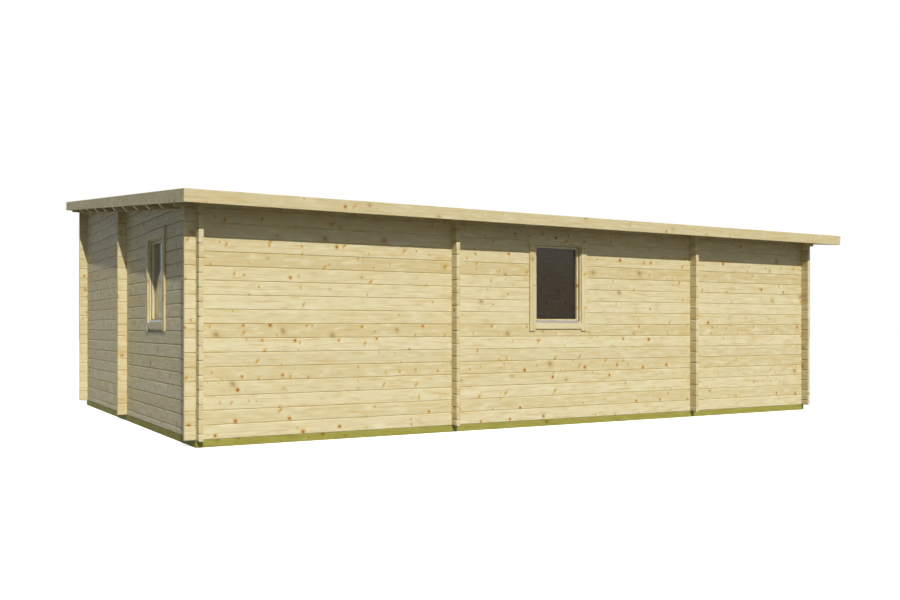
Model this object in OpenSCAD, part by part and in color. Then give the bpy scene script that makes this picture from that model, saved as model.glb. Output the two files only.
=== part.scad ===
// Log cabin with five rooms under one shallow single-pitch roof.
// The long, low rear wall faces -Y, the short left wall faces -X and the tall front faces +Y.
// The origin is the middle of the plan on the ground, lengths are in millimetres.

/* [Rooms] */
// Clear width of the two left rooms
left_bay = 2700; // [2000:10:3600]
// Clear width of the two middle rooms
middle_bay = 3415; // [2800:5:4400]
// Clear width of the right room
right_bay = 2010; // [1400:10:3000]
// Clear depth of the left room behind the rear wall
left_rear_depth = 2970; // [2600:10:3600]
// Clear depth of the left room behind the front wall
left_front_depth = 2640; // [2000:10:3400]
// Clear depth of the middle room behind the rear wall
middle_rear_depth = 1810; // [1500:10:2200]

/* [Logs] */
// Thickness of a wall log
log_t = 44; // [40:1:60]
// Height of one course of logs
log_h = 135; // [120:1:150]
// Length of a log end past a corner
log_end = 105; // [60:5:160]
// Bevel along the edges of a log
log_bevel = 8; // [2:0.5:9]
// Height of the tongue on a log
tongue_h = 8; // [5:0.5:12]
// Width of the tongue
tongue_w = 16; // [10:0.5:20]
// Play of the tongue in its groove
tongue_play = 1; // [0.5:0.1:2]
// Courses in the rear wall
rear_courses = 16; // [15:1:17]
// Courses in the front wall
front_courses = 20; // [19:1:22]

/* [Base and floor] */
// Height of the treated base beams
base_h = 70; // [45:5:120]
// Width of the base beams
base_w = 60; // [50:1:90]
// Thickness of the floor boards
floor_t = 19; // [16:1:28]
// Width of a floor joist
joist_w = 45; // [38:1:70]
// Widest spacing of the floor joists
joist_spacing = 620; // [400:10:800]

/* [Roof] */
// Height of the wall plates at their middle
plate_h = 113; // [100:1:130]
// Height of the purlins at their middle
purlin_h = 128; // [115:1:140]
// Thickness of the purlins
purlin_t = 44; // [40:1:60]
// Purlins between the two wall plates
purlin_count = 9; // [6:1:12]
// Cut on the lower corner of each purlin end
purlin_cut = 45; // [20:1:70]
// Reach of the roof past the side walls
side_overhang = 218; // [150:1:400]
// Reach of the roof past the rear and front walls
eave_overhang = 425; // [250:5:600]
// Thickness of the roof boards
deck_t = 18; // [16:1:28]
// Thickness of the roofing felt
felt_t = 4; // [3:0.5:6]
// Thickness of the fascia boards
fascia_t = 20; // [16:1:28]
// Height of the fascia boards
fascia_h = 120; // [95:1:160]
// Height of the fascia above the felt
fascia_lip = 15; // [5:1:30]

/* [Windows] */
// Width of the opening cut for a window
window_w = 738; // [600:2:900]
// Height of the bottom of a window opening
window_bottom = 1130; // [950:5:1250]
// Height of the top of a window opening
window_top = 2105; // [1900:5:2150]
// Distance from the left cross wall to the middle of the rear window
rear_window_place = 1367; // [900:1:2200]
// Face width of the window and door frames
frame_w = 57; // [40:1:70]
// Width of the frame that shows inside the trim boards
frame_show = 15; // [6:1:25]
// Depth of the window and door frames
frame_depth = 76; // [60:1:100]
// Face width of the sash members
sash_w = 26; // [20:1:60]
// Thickness of the sash
sash_t = 52; // [40:1:60]
// Distance of the sash behind the outer face of the wall
sash_inset = 22; // [10:1:30]
// Depth of the glass behind the front of the sash
glass_inset = 29; // [8:1:34]
// Thickness of the insulating glass over both panes
glass_t = 20; // [14:1:26]
// Thickness of one pane
pane_t = 4; // [3:0.5:6]
// Height of the metal drip strip at its front, above the frame
drip_h = 7; // [4:1:12]
// Distance from the end of the drip strip to the frame
drip_end = 16; // [2:1:40]
// Width of the trim boards beside a window or door
trim_w = 76; // [50:1:110]
// Thickness of the trim boards
trim_t = 20; // [15:1:30]
// Height of the trim board above a window or door
head_trim_h = 88; // [60:1:120]
// Reach of the head board past the side boards
head_trim_ear = 17; // [0:1:40]
// Height of the sill board under a window
sill_trim_h = 71; // [50:1:110]
// Reach of the side boards below the sill board
leg_drop = 25; // [0:1:50]

/* [Doors] */
// Width of the opening cut for the entrance door
door_w = 980; // [860:5:1200]
// Thickness of the door leaf
leaf_t = 44; // [36:1:60]
// Height of the door threshold
threshold_h = 34; // [20:1:60]
// Clear width of an inner doorway
doorway_w = 800; // [700:10:900]
// Thickness of the boards that line an inner doorway
lining_t = 22; // [16:1:30]
// Reach of the lining boards past the logs
lining_proud = 10; // [0:1:20]
// Distance of an inner doorway from the nearest wall
doorway_place = 150; // [110:5:220]
// Full courses cut through at a door
door_courses = 15; // [14:1:15]
// Height of the lever handle above the ground
handle_z = 1050; // [900:10:1200]
// Distance of the handle from the edge of the leaf
handle_edge = 70; // [50:1:100]
// Width of the handle plate
handle_plate_w = 40; // [30:1:60]
// Thickness of the handle plate
handle_plate_t = 8; // [4:1:12]
// Height of the handle plate
handle_plate_h = 220; // [160:5:260]
// Radius of the lever
lever_r = 9; // [7:0.5:12]
// Reach of the lever from the leaf
lever_reach = 45; // [35:1:60]
// Length of the lever
lever_length = 130; // [100:5:160]

/* [Hidden] */

spruce = "#ddd0a5";
planed_spruce = "#e2d3a5";
treated_pine = "#9e994c";
felt_grey = "#4b4d4e";
pane_grey = "#433e36";
aluminium = "#9c9c98";
// Reach of every cut past the surface that it opens
over = 10;
// Gap between two courses, and between the members of one frame
joint = 0.3;
// Side clearance of a notch round the log that crosses it
fit = 0.4;
// Least height of a log that is cut to the roof slope
feather = 20;
// Height of the drip strip at its back, as a share of its front
drip_back_share = 1.5;

cabin_w = 4 * log_t + left_bay + middle_bay + right_bay;
cabin_d = 3 * log_t + left_rear_depth + left_front_depth;
left_x = -cabin_w / 2;
left_cross_x = left_x + log_t + left_bay;
right_cross_x = left_cross_x + log_t + middle_bay;
right_x = cabin_w / 2 - log_t;
side_xs = [left_x, left_cross_x, right_cross_x, right_x];
rear_y = -cabin_d / 2;
front_y = cabin_d / 2 - log_t;
left_partition_y = rear_y + log_t + left_rear_depth;
middle_partition_y = rear_y + log_t + middle_rear_depth;

half_h = log_h / 2;
core_cut = log_h / 4;
groove_w = tongue_w + tongue_play;
groove_h = tongue_h + tongue_play;
floor_z = base_h + floor_t;
x_door_top = base_h + door_courses * log_h;
y_door_top = x_door_top + half_h;

rise = (front_courses - rear_courses) * log_h;
slope = rise / (front_y - rear_y);
pitch = atan(slope);
rear_top = base_h + rear_courses * log_h;
deck_middle_z = rear_top + plate_h + rise / 2;
purlin_step = (front_y - rear_y) / (purlin_count + 1);
inner_reach = cabin_w / 2 + side_overhang - fascia_t;
roof_top = deck_t + felt_t + fascia_lip;
roof_half = (cabin_d / 2 + eave_overhang - fascia_h / 2 * sin(pitch)) / cos(pitch);
roof_shift = (roof_top - fascia_h / 2) * tan(pitch);

frame_half = window_w / 2 - joint;
clear_half = frame_half - frame_w;
clear_bottom = window_bottom + frame_w;
clear_top = window_top - joint - frame_w;
trim_half = clear_half + frame_show;
trim_bottom = clear_bottom - frame_show;
trim_top = clear_top + frame_show;
rear_window_x = left_cross_x + log_t + rear_window_place;
left_window_y = rear_y + log_t + left_rear_depth / 2;
door_x = (left_cross_x + log_t + right_cross_x) / 2;
lined_w = doorway_w + 2 * lining_t + 2 * joint;
left_rear_doorway_y = rear_y + log_t + doorway_place;
front_doorway_y = left_partition_y + log_t + doorway_place;
middle_doorway_x = left_cross_x + log_t + doorway_place;

function deck_z(y) = deck_middle_z + slope * y;
function purlin_y(i) = rear_y + i * purlin_step + (log_t - purlin_t) / 2;
function purlin_z(i) = deck_z(purlin_y(i) + purlin_t / 2) - purlin_h;
function partition_courses(y) = round((deck_z(y + log_t / 2) - base_h) / log_h);
function x_log_z(n) = base_h + n * log_h;
function y_log_z(k) = base_h + half_h + (k - 1) * log_h;
// Corners of a tongue or groove on the middle of a log, from the side at -w to the side at +w
function tongue_points(w, z, h) = let (middle = log_t / 2)
    [[middle - w / 2, z], [middle - w / 2, z + h], [middle + w / 2, z + h], [middle + w / 2, z]];

// Section of a log across the wall: bevelled edges, a groove below and a tongue above
function log_section(h, grooved, tongued) = concat(
    [[0, h - log_bevel], [0, log_bevel], [log_bevel, 0]],
    grooved ? tongue_points(groove_w, 0, groove_h) : [],
    [[log_t - log_bevel, 0], [log_t, log_bevel], [log_t, h - log_bevel], [log_t - log_bevel, h]],
    tongued ? tongue_points(-tongue_w, h, tongue_h) : [],
    [[log_bevel, h]]);

// A whole log along X, from x0 to x1, with its lower outer edge at y and z
module x_log(x0, x1, y, z, h = log_h - joint, grooved = true, tongued = true) {
    translate([x0, y, z])
        rotate([90, 0, 90])
            linear_extrude(x1 - x0)
                polygon(log_section(h, grooved, tongued));
}

// A whole log along Y, from y0 to y1, with its lower outer edge at x and z
module y_log(x, y0, y1, z, h = log_h - joint, grooved = true, tongued = true) {
    translate([x, y1, z])
        rotate([90, 0, 0])
            linear_extrude(y1 - y0)
                polygon(log_section(h, grooved, tongued));
}

// What a crossing log takes out above and below the core of the log that starts at z
module notch(x, y, wide_x, wide_y, z, reach) {
    translate([x - wide_x, y - wide_y, z - over])
        cube([log_t + 2 * wide_x, log_t + 2 * wide_y, core_cut + over]);
    translate([x - wide_x, y - wide_y, z + log_h - core_cut])
        cube([log_t + 2 * wide_x, log_t + 2 * wide_y, reach]);
}

// What a purlin takes out of the logs from x0 to x1
module purlin_notch(i, x0, x1) {
    translate([x0 - over, purlin_y(i) - fit, purlin_z(i)])
        cube([x1 - x0 + 2 * over, purlin_t + 2 * fit, log_h + purlin_h]);
}

// Everything above the underside of the roof boards
module above_deck() {
    translate([0, 0, deck_middle_z])
        rotate([pitch, 0, 0])
            translate([-cabin_w, -cabin_d, 0])
                cube([2 * cabin_w, 2 * cabin_d, cabin_d]);
}

module window_cut() {
    translate([-window_w / 2, -over, window_bottom])
        cube([window_w, log_t + 2 * over, window_top - window_bottom]);
}

module at_rear_window() {
    translate([rear_window_x, rear_y, 0])
        children();
}

module at_left_window() {
    translate([left_x, left_window_y, 0])
        rotate([0, 0, -90])
            children();
}

module at_door() {
    translate([door_x, cabin_d / 2, 0])
        rotate([0, 0, 180])
            children();
}

module door_cut() {
    translate([-door_w / 2, -over, base_h - over])
        cube([door_w, log_t + 2 * over, x_door_top - base_h + over]);
}

module x_doorway_cut(x, y) {
    translate([x, y - over, base_h - over])
        cube([lined_w, log_t + 2 * over, x_door_top - base_h + over]);
}

module y_doorway_cut(x, y) {
    translate([x - over, y, base_h - over])
        cube([log_t + 2 * over, lined_w, y_door_top - base_h + over]);
}

// A wall along X: each course is notched where the walls along Y cross it
module x_wall(y, courses) {
    for (n = [0 : courses - 1])
        difference() {
            x_log(left_x - log_end, cabin_w / 2 + log_end, y, x_log_z(n), grooved = n > 0);
            for (x = side_xs)
                notch(x, y, fit, over, x_log_z(n), log_h);
        }
}

// A partition along X: its last course is cut to the roof slope, and a purlin above it is let in
module x_partition(x0, x1, y, crossings) {
    courses = partition_courses(y);
    top_h = deck_z(y + log_t) - x_log_z(courses - 1) + log_bevel;
    for (n = [0 : courses - 1])
        difference() {
            x_log(x0, x1, y, x_log_z(n), n == courses - 1 ? top_h : log_h - joint,
                grooved = n > 0, tongued = n < courses - 1);
            for (x = crossings)
                notch(x, y, fit, over, x_log_z(n), top_h + log_h);
            for (i = [1 : purlin_count])
                if (purlin_y(i) - fit < y + log_t && purlin_y(i) + purlin_t + fit > y)
                    purlin_notch(i, x0, x1);
            if (n == courses - 1)
                above_deck();
        }
}

// A wall along Y: a half log, whole logs and logs that follow the roof slope
module y_wall(x, partitions) {
    difference() {
        y_log(x, rear_y - log_end, front_y + log_t + log_end, base_h, half_h - joint, grooved = false);
        for (y = concat([rear_y, front_y], partitions))
            translate([x - over, y - fit, base_h + core_cut])
                cube([log_t + 2 * over, log_t + 2 * fit, half_h]);
    }
    for (k = [1 : front_courses + 1]) {
        z = y_log_z(k);
        sloped = k > rear_courses;
        slope_start = max(rear_y + log_t + fit, (z + feather - deck_middle_z) / slope);
        y0 = sloped ? slope_start : rear_y - log_end;
        y1 = k > front_courses ? front_y - fit : front_y + log_t + log_end;
        difference() {
            y_log(x, y0, y1, z);
            for (y = concat([rear_y, front_y], partitions))
                notch(x, y, over, fit, z, log_h);
            for (i = [1 : purlin_count])
                if (purlin_z(i) < z + log_h + tongue_h && deck_z(purlin_y(i)) > z)
                    purlin_notch(i, x, x + log_t);
            if (sloped)
                above_deck();
        }
    }
}

// A wall plate along X on the last course, bevelled to the roof
module wall_plate(y, z) {
    difference() {
        x_log(-inner_reach, inner_reach, y, z, plate_h + log_t, tongued = false);
        for (x = side_xs)
            translate([x - fit, y - over, z - over])
                cube([log_t + 2 * fit, log_t + 2 * over, core_cut + over]);
        above_deck();
    }
}

// Places a shape on the slope, with zero height at the underside of the roof boards
module on_slope() {
    translate([0, 0, deck_middle_z])
        rotate([pitch, 0, 0])
            translate([0, roof_shift, 0])
                children();
}

// Boards round a window on both faces of the wall, the outer ones with a longer head and a sill board
module window_trim() {
    leg_bottom = trim_bottom - sill_trim_h - leg_drop;
    for (side = [-1, 1]) {
        translate([side * (trim_half + trim_w / 2) - trim_w / 2, -trim_t, leg_bottom])
            cube([trim_w, trim_t, trim_top - leg_bottom]);
        translate([side * (frame_half + joint + trim_w / 2) - trim_w / 2, log_t, window_bottom])
            cube([trim_w, trim_t, window_top - window_bottom - joint]);
    }
    head_half = trim_half + trim_w + head_trim_ear;
    translate([-head_half, -trim_t, trim_top + joint])
        cube([2 * head_half, trim_t, head_trim_h]);
    translate([joint - trim_half, -trim_t, trim_bottom - sill_trim_h])
        cube([2 * (trim_half - joint), trim_t, sill_trim_h]);
    inner_half = frame_half + joint + trim_w;
    for (z = [window_bottom - trim_w - joint, window_top])
        translate([-inner_half, log_t, z])
            cube([2 * inner_half, trim_t, trim_w]);
}

module window_frame() {
    for (side = [-1, 1])
        translate([side * (frame_half - frame_w / 2) - frame_w / 2, 0, window_bottom])
            cube([frame_w, frame_depth, window_top - joint - window_bottom]);
    for (z = [window_bottom, clear_top])
        translate([joint - clear_half, 0, z])
            cube([2 * (clear_half - joint), frame_depth, frame_w]);
}

module window_sash() {
    sash_half = clear_half - joint;
    sash_bottom = clear_bottom + joint;
    sash_top = clear_top - joint;
    for (side = [-1, 1])
        translate([side * (sash_half - sash_w / 2) - sash_w / 2, sash_inset, sash_bottom])
            cube([sash_w, sash_t, sash_top - sash_bottom]);
    for (z = [sash_bottom, sash_top - sash_w])
        translate([sash_w + joint - sash_half, sash_inset, z])
            cube([2 * (sash_half - sash_w - joint), sash_t, sash_w]);
}

// Two panes of insulating glass
module window_glass() {
    pane_half = clear_half - sash_w - 2 * joint;
    pane_bottom = clear_bottom + sash_w + 2 * joint;
    pane_top = clear_top - sash_w - 2 * joint;
    front = sash_inset + glass_inset;
    for (y = [front, front + glass_t - pane_t])
        translate([-pane_half, y, pane_bottom])
            cube([2 * pane_half, pane_t, pane_top - pane_bottom]);
}

// A sloped strip from the foot of the sash, with a lip over the front of the frame down to the sill board
module window_drip() {
    strip_half = clear_half - drip_end;
    strip_d = sash_inset - joint;
    back_h = drip_back_share * drip_h;
    lip = joint - frame_show;
    translate([-strip_half, 0, clear_bottom])
        rotate([90, 0, 90])
            linear_extrude(2 * strip_half)
                polygon([[-trim_t / 2, lip], [-joint, lip], [-joint, joint], [strip_d, joint],
                    [strip_d, back_h], [-trim_t / 2, drip_h]]);
}

// Two side boards, a head board and a threshold round an inner doorway that starts at zero along X
module doorway_lining(top) {
    depth = log_t + 2 * lining_proud;
    for (x = [joint, lined_w - joint - lining_t])
        translate([x, -lining_proud, floor_z + joint])
            cube([lining_t, depth, top - joint - lining_t - joint - floor_z - joint]);
    translate([joint, -lining_proud, top - joint - lining_t])
        cube([lined_w - 2 * joint, depth, lining_t]);
    translate([joint, 0, base_h])
        cube([lined_w - 2 * joint, log_t, floor_t]);
}

module base_beam(x, y, length_x, length_y) {
    color(treated_pine)
        translate([x, y, 0])
            cube([length_x, length_y, base_h]);
}

module side_base_beam(x) {
    base_beam(x, rear_y + base_w, base_w, cabin_d - 2 * base_w);
}

module floor_panel(x0, x1, y0, y1) {
    color(planed_spruce)
        translate([x0 + joint, y0 + joint, base_h])
            cube([x1 - x0 - 2 * joint, y1 - y0 - 2 * joint, floor_t]);
}

module joist_row(x0, x1, y0, y1) {
    bays = ceil((y1 - y0) / joist_spacing);
    for (i = [1 : bays - 1])
        translate([x0, y0 + i * (y1 - y0) / bays - joist_w / 2, 0])
            cube([x1 - x0, joist_w, base_h]);
}

module rear_base_beam() {
    base_beam(left_x, rear_y, cabin_w, base_w);
}

module front_base_beam() {
    base_beam(left_x, cabin_d / 2 - base_w, cabin_w, base_w);
}

module left_base_beam() {
    side_base_beam(left_x);
}

module right_base_beam() {
    side_base_beam(cabin_w / 2 - base_w);
}

// Beams under the two cross walls and the two partitions, each under the middle of its wall
module inner_base_beams() {
    set_back = (base_w - log_t) / 2;
    side_base_beam(left_cross_x - set_back);
    side_base_beam(right_cross_x - set_back);
    base_beam(left_x + base_w + joint, left_partition_y - set_back,
        left_cross_x - set_back - left_x - base_w - 2 * joint, base_w);
    base_beam(left_cross_x - set_back + base_w + joint, middle_partition_y - set_back,
        right_cross_x - left_cross_x - base_w - 2 * joint, base_w);
}

module floor_joists() {
    set_back = (base_w - log_t) / 2 + joint;
    left_0 = left_x + base_w + joint;
    left_1 = left_cross_x - set_back;
    middle_0 = left_cross_x + log_t + set_back;
    middle_1 = right_cross_x - set_back;
    right_0 = right_cross_x + log_t + set_back;
    right_1 = cabin_w / 2 - base_w - joint;
    color(treated_pine) {
        joist_row(left_0, left_1, rear_y + log_t, left_partition_y);
        joist_row(left_0, left_1, left_partition_y + log_t, front_y);
        joist_row(middle_0, middle_1, rear_y + log_t, middle_partition_y);
        joist_row(middle_0, middle_1, middle_partition_y + log_t, front_y);
        joist_row(right_0, right_1, rear_y + log_t, front_y);
    }
}

module left_rear_floor() {
    floor_panel(left_x + log_t, left_cross_x, rear_y + log_t, left_partition_y);
}

module left_front_floor() {
    floor_panel(left_x + log_t, left_cross_x, left_partition_y + log_t, front_y);
}

module middle_rear_floor() {
    floor_panel(left_cross_x + log_t, right_cross_x, rear_y + log_t, middle_partition_y);
}

module middle_front_floor() {
    floor_panel(left_cross_x + log_t, right_cross_x, middle_partition_y + log_t, front_y);
}

module right_floor() {
    floor_panel(right_cross_x + log_t, right_x, rear_y + log_t, front_y);
}

module rear_wall() {
    color(spruce)
        difference() {
            x_wall(rear_y, rear_courses);
            at_rear_window()
                window_cut();
        }
}

module front_wall() {
    color(spruce)
        difference() {
            x_wall(front_y, front_courses);
            at_door()
                door_cut();
        }
}

module left_wall() {
    color(spruce)
        difference() {
            y_wall(left_x, [left_partition_y]);
            at_left_window()
                window_cut();
        }
}

module right_wall() {
    color(spruce)
        y_wall(right_x, []);
}

module left_cross_wall() {
    color(spruce)
        difference() {
            y_wall(left_cross_x, [left_partition_y, middle_partition_y]);
            y_doorway_cut(left_cross_x, left_rear_doorway_y);
            y_doorway_cut(left_cross_x, front_doorway_y);
        }
}

module right_cross_wall() {
    color(spruce)
        difference() {
            y_wall(right_cross_x, [middle_partition_y]);
            y_doorway_cut(right_cross_x, front_doorway_y);
        }
}

module left_room_partition() {
    color(spruce)
        x_partition(left_x - log_end, left_cross_x + log_t, left_partition_y, [left_x, left_cross_x]);
}

module middle_room_partition() {
    crossings = [left_cross_x, right_cross_x];
    color(spruce)
        difference() {
            x_partition(left_cross_x, right_cross_x + log_t, middle_partition_y, crossings);
            x_doorway_cut(middle_doorway_x, middle_partition_y);
        }
}

module rear_wall_plate() {
    color(spruce)
        wall_plate(rear_y, rear_top);
}

module front_wall_plate() {
    color(spruce)
        wall_plate(front_y, rear_top + rise);
}

// Purlins with the lower corner of each end cut off, bevelled on top to the roof
module purlins() {
    top = purlin_h + purlin_t;
    color(spruce)
        for (i = [1 : purlin_count])
            difference() {
                translate([0, purlin_y(i) + purlin_t, purlin_z(i)])
                    rotate([90, 0, 0])
                        linear_extrude(purlin_t)
                            polygon([[purlin_cut - inner_reach, 0], [inner_reach - purlin_cut, 0],
                                [inner_reach, purlin_cut], [inner_reach, top],
                                [-inner_reach, top], [-inner_reach, purlin_cut]]);
                above_deck();
            }
}

module roof_deck() {
    color(planed_spruce)
        on_slope()
            translate([-inner_reach, fascia_t - roof_half, 0])
                cube([2 * inner_reach, 2 * (roof_half - fascia_t), deck_t]);
}

module roof_felt() {
    color(felt_grey)
        on_slope()
            translate([-inner_reach, fascia_t - roof_half, deck_t])
                cube([2 * inner_reach, 2 * (roof_half - fascia_t), felt_t]);
}

module eave_fascia(y) {
    color(planed_spruce)
        on_slope()
            translate([-inner_reach - fascia_t, y, roof_top - fascia_h])
                cube([2 * (inner_reach + fascia_t), fascia_t, fascia_h]);
}

module side_fascia(x) {
    color(planed_spruce)
        on_slope()
            translate([x, fascia_t - roof_half, roof_top - fascia_h])
                cube([fascia_t, 2 * (roof_half - fascia_t), fascia_h]);
}

module rear_fascia() {
    eave_fascia(-roof_half);
}

module front_fascia() {
    eave_fascia(roof_half - fascia_t);
}

module left_fascia() {
    side_fascia(-inner_reach - fascia_t);
}

module right_fascia() {
    side_fascia(inner_reach);
}

module rear_window_frame() {
    color(planed_spruce)
        at_rear_window()
            window_frame();
}

module rear_window_sash() {
    color(planed_spruce)
        at_rear_window()
            window_sash();
}

module rear_window_glass() {
    color(pane_grey)
        at_rear_window()
            window_glass();
}

module rear_window_drip() {
    color(aluminium)
        at_rear_window()
            window_drip();
}

module rear_window_trim() {
    color(planed_spruce)
        at_rear_window()
            window_trim();
}

module left_window_frame() {
    color(planed_spruce)
        at_left_window()
            window_frame();
}

module left_window_sash() {
    color(planed_spruce)
        at_left_window()
            window_sash();
}

module left_window_glass() {
    color(pane_grey)
        at_left_window()
            window_glass();
}

module left_window_drip() {
    color(aluminium)
        at_left_window()
            window_drip();
}

module left_window_trim() {
    color(planed_spruce)
        at_left_window()
            window_trim();
}

// Linings of the four inner doorways
module doorway_linings() {
    color(planed_spruce) {
        for (place = [[left_cross_x, left_rear_doorway_y], [left_cross_x, front_doorway_y],
                [right_cross_x, front_doorway_y]])
            translate([place[0] + log_t, place[1], 0])
                rotate([0, 0, 90])
                    doorway_lining(y_door_top);
        translate([middle_doorway_x, middle_partition_y, 0])
            doorway_lining(x_door_top);
    }
}

module door_frame() {
    half = door_w / 2 - joint;
    color(planed_spruce)
        at_door() {
            for (side = [-1, 1])
                translate([side * (half - frame_w / 2) - frame_w / 2, 0, base_h])
                    cube([frame_w, frame_depth, x_door_top - joint - base_h]);
            translate([frame_w + joint - half, 0, x_door_top - joint - frame_w])
                cube([2 * (half - frame_w - joint), frame_depth, frame_w]);
            translate([frame_w + joint - half, 0, base_h])
                cube([2 * (half - frame_w - joint), log_t - joint, threshold_h]);
        }
}

module door_leaf() {
    half = door_w / 2 - frame_w - 2 * joint;
    bottom = base_h + threshold_h + joint;
    top = x_door_top - frame_w - 2 * joint;
    color(planed_spruce)
        at_door()
            translate([-half, frame_depth - leaf_t, bottom])
                cube([2 * half, leaf_t, top - bottom]);
}

module door_trim() {
    clear = door_w / 2 - joint - frame_w + frame_show;
    head = clear + trim_w + head_trim_ear;
    top = x_door_top - joint - frame_w + frame_show;
    color(planed_spruce)
        at_door() {
            for (side = [-1, 1])
                translate([side * (clear + trim_w / 2) - trim_w / 2, -trim_t, base_h])
                    cube([trim_w, trim_t, top - base_h]);
            translate([-head, -trim_t, top + joint])
                cube([2 * head, trim_t, head_trim_h]);
        }
}

// A lever handle on a plate, outside the leaf
module door_handle() {
    plate_size = [handle_plate_w, handle_plate_t, handle_plate_h];
    x = door_w / 2 - frame_w - 2 * joint - handle_edge;
    color(aluminium)
        at_door()
            translate([-x, frame_depth - leaf_t, handle_z]) {
                translate([-plate_size[0] / 2, -plate_size[1], -plate_size[2] / 2])
                    cube(plate_size);
                rotate([90, 0, 0])
                    cylinder(h = lever_reach, r = lever_r, $fn = 32);
                translate([-lever_r, -lever_reach, 0])
                    rotate([0, 90, 0])
                        cylinder(h = lever_length, r = lever_r, $fn = 32);
            }
}

rear_base_beam();
front_base_beam();
left_base_beam();
right_base_beam();
inner_base_beams();
floor_joists();
left_rear_floor();
left_front_floor();
middle_rear_floor();
middle_front_floor();
right_floor();
rear_wall();
front_wall();
left_wall();
right_wall();
left_cross_wall();
right_cross_wall();
left_room_partition();
middle_room_partition();
rear_wall_plate();
front_wall_plate();
purlins();
roof_deck();
roof_felt();
rear_fascia();
front_fascia();
left_fascia();
right_fascia();
rear_window_frame();
rear_window_sash();
rear_window_glass();
rear_window_drip();
rear_window_trim();
left_window_frame();
left_window_sash();
left_window_glass();
left_window_drip();
left_window_trim();
doorway_linings();
door_frame();
door_leaf();
door_trim();
door_handle();
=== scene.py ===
# %% [markdown]
# # A log cabin of interlocking spruce logs
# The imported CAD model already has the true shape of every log, beam and board. Here it gets its looks: wood with grain
# and knots, boards with eased edges, felt, glass and metal. Everything is in metres, in the frame of the CAD model.

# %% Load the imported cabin
import math

import bpy
import numpy as np
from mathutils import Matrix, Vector


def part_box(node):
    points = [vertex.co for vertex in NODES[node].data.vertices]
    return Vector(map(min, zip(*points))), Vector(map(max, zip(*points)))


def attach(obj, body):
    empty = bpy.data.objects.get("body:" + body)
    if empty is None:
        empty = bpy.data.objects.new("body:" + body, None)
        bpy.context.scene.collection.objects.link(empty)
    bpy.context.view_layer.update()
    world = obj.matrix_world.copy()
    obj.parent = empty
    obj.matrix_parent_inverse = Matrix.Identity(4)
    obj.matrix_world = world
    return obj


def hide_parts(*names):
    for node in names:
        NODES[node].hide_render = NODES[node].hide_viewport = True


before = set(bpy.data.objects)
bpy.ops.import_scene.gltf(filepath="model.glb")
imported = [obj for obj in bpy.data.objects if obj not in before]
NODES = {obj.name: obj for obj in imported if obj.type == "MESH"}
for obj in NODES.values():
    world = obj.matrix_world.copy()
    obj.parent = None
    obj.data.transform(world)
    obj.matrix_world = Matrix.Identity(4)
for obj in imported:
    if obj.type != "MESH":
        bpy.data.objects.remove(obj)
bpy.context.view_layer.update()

MM = 0.001
rng = np.random.default_rng(27)
scene = bpy.context.scene

# %% [markdown]
# ## The camera
# The photograph was taken with a level camera, so upright edges stay upright and the horizon lies a little under the
# middle of the picture. A small vertical shift gives that framing. Tilting the camera would make the walls converge.

# %% Camera
IMAGE_W, IMAGE_H = 900, 600
FOCAL_PX = 955.4
HORIZON_ROW = 327.8
HEADING_DEG = 30.24
CAMERA_PLACE = (-6.5695, -11.693, 1.113)

camera = bpy.data.objects.new("photo_camera", bpy.data.cameras.new("photo_camera"))
camera.data.lens = camera.data.sensor_width * FOCAL_PX / IMAGE_W
camera.data.shift_y = (HORIZON_ROW - IMAGE_H / 2) / IMAGE_W
camera.location = CAMERA_PLACE
camera.rotation_euler = (math.pi / 2, 0, -math.radians(HEADING_DEG))
scene.collection.objects.link(camera)
scene.camera = camera
print("lens:", round(camera.data.lens, 2), "mm")

# %% [markdown]
# ## Colours and nodes
# Paint charts and picture editors give colours as sRGB hex codes, but a renderer adds up light, so it needs linear
# numbers. One function turns the first into the second. Another small function adds a node, with its settings and its
# links, so that a material reads like a list of steps.

# %% Colour and node helpers
def linear(code):
    """Linear red, green, blue and alpha of an sRGB hex code."""
    part = np.array([int(code[i:i + 2], 16) for i in (1, 3, 5)]) / 255
    part = np.where(part <= 0.04045, part / 12.92, ((part + 0.055) / 1.055) ** 2.4)
    return (*part.tolist(), 1.0)


def add(tree, kind, *values, out=0, ramp=None, **settings):
    """Adds one node: settings go on the node, values go in order on its open sockets (None skips one)."""
    node = tree.nodes.new("ShaderNode" + kind)
    for name, value in settings.items():
        setattr(node, name, value)
    if ramp:
        while len(node.color_ramp.elements) < len(ramp):
            node.color_ramp.elements.new(1.0)
        for element, (place, code) in zip(node.color_ramp.elements, ramp):
            element.position, element.color = place, linear(code)
    if len(values) == 1 and isinstance(values[0], dict):
        pairs = [(node.inputs[name], value) for name, value in values[0].items()]
    else:
        pairs = zip([s for s in node.inputs if s.enabled], values)
    for socket, value in pairs:
        if isinstance(value, bpy.types.NodeSocket):
            tree.links.new(value, socket)
        elif value is not None:
            socket.default_value = value
    return [s for s in node.outputs if s.enabled][out] if node.outputs else node


def new_material(name):
    """An empty node material and its tree."""
    material = bpy.data.materials.new(name)
    material.use_nodes = True
    material.node_tree.nodes.clear()
    return material, material.node_tree


print("white is", linear("#ffffff"))

# %% [markdown]
# ## The sun
# The picture was lit by a low sun from behind the camera. A sun lamp has parallel rays, so the shadow of the eaves
# falls at the same height along the whole wall, and its small angle keeps the edge of that shadow crisp. An area lamp
# would fan out and blur. The Standard view shows colours as they are worked out, without the look of a film.

# %% Sun
SUN_TRAVEL = Vector((0.181, 0.846, -0.549))
SUN_STRENGTH = 3.05
SUN_ANGLE_DEG = 0.6

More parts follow.
